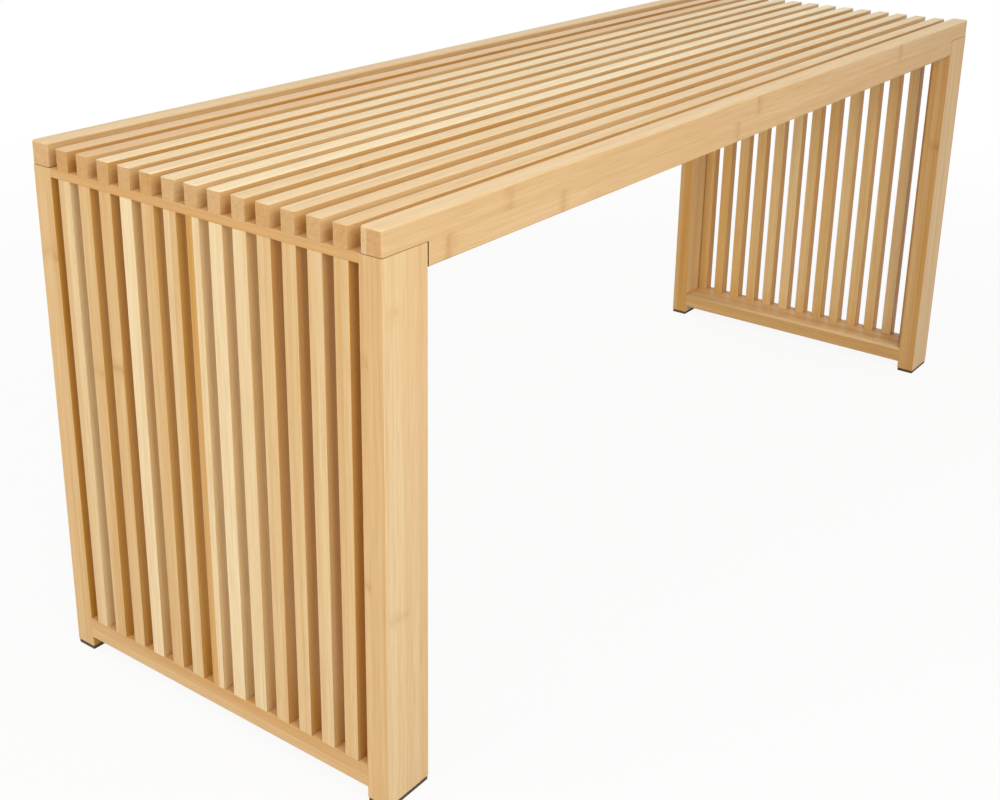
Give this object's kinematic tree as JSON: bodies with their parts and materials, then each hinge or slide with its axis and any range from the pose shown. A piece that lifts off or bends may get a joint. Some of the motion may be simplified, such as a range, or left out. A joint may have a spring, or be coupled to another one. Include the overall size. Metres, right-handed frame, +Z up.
{
  "type": "slatted bench",
  "caption": "Backless bench of laminated bamboo: a slatted seat between deep side rails notched over corner posts, with slatted end frames and foot pads.",
  "frame": {"origin": "centre of the footprint, on the floor under the foot pads", "axes": "+X along the bench's length, +Y towards its back, +Z up"},
  "size_m": [1.07, 0.355, 0.45],
  "materials": {
    "natural_bamboo": "satin lacquer",
    "dowel_beech": "raw",
    "foot_pad_rubber": "matte"
  },
  "bodies": {
    "root": {"front_rail": "natural_bamboo", "back_rail": "natural_bamboo", "seat_slat_01": "natural_bamboo", "seat_slat_02": "natural_bamboo", "seat_slat_03": "natural_bamboo", "seat_slat_04": "natural_bamboo", "seat_slat_05": "natural_bamboo", "seat_slat_06": "natural_bamboo", "seat_slat_07": "natural_bamboo", "seat_slat_08": "natural_bamboo", "seat_slat_09": "natural_bamboo", "seat_slat_10": "natural_bamboo", "seat_slat_11": "natural_bamboo", "seat_slat_12": "natural_bamboo", "seat_slat_13": "natural_bamboo", "seat_batten_1": "natural_bamboo", "seat_batten_2": "natural_bamboo", "seat_batten_3": "natural_bamboo", "front_left_post": "natural_bamboo", "front_right_post": "natural_bamboo", "back_left_post": "natural_bamboo", "back_right_post": "natural_bamboo", "left_upper_crossbar": "natural_bamboo", "right_upper_crossbar": "natural_bamboo", "left_lower_crossbar": "natural_bamboo", "right_lower_crossbar": "natural_bamboo", "left_panel_slat_01": "natural_bamboo", "left_panel_slat_02": "natural_bamboo", "left_panel_slat_03": "natural_bamboo", "left_panel_slat_04": "natural_bamboo", "left_panel_slat_05": "natural_bamboo", "left_panel_slat_06": "natural_bamboo", "left_panel_slat_07": "natural_bamboo", "left_panel_slat_08": "natural_bamboo", "left_panel_slat_09": "natural_bamboo", "left_panel_slat_10": "natural_bamboo", "left_panel_slat_11": "natural_bamboo", "left_panel_slat_12": "natural_bamboo", "left_panel_slat_13": "natural_bamboo", "right_panel_slat_01": "natural_bamboo", "right_panel_slat_02": "natural_bamboo", "right_panel_slat_03": "natural_bamboo", "right_panel_slat_04": "natural_bamboo", "right_panel_slat_05": "natural_bamboo", "right_panel_slat_06": "natural_bamboo", "right_panel_slat_07": "natural_bamboo", "right_panel_slat_08": "natural_bamboo", "right_panel_slat_09": "natural_bamboo", "right_panel_slat_10": "natural_bamboo", "right_panel_slat_11": "natural_bamboo", "right_panel_slat_12": "natural_bamboo", "right_panel_slat_13": "natural_bamboo", "front_left_dowel": "dowel_beech", "front_right_dowel": "dowel_beech", "back_left_dowel": "dowel_beech", "back_right_dowel": "dowel_beech", "front_left_foot_pad": "foot_pad_rubber", "front_right_foot_pad": "foot_pad_rubber", "back_left_foot_pad": "foot_pad_rubber", "back_right_foot_pad": "foot_pad_rubber"}
  },
  "joints": []
}
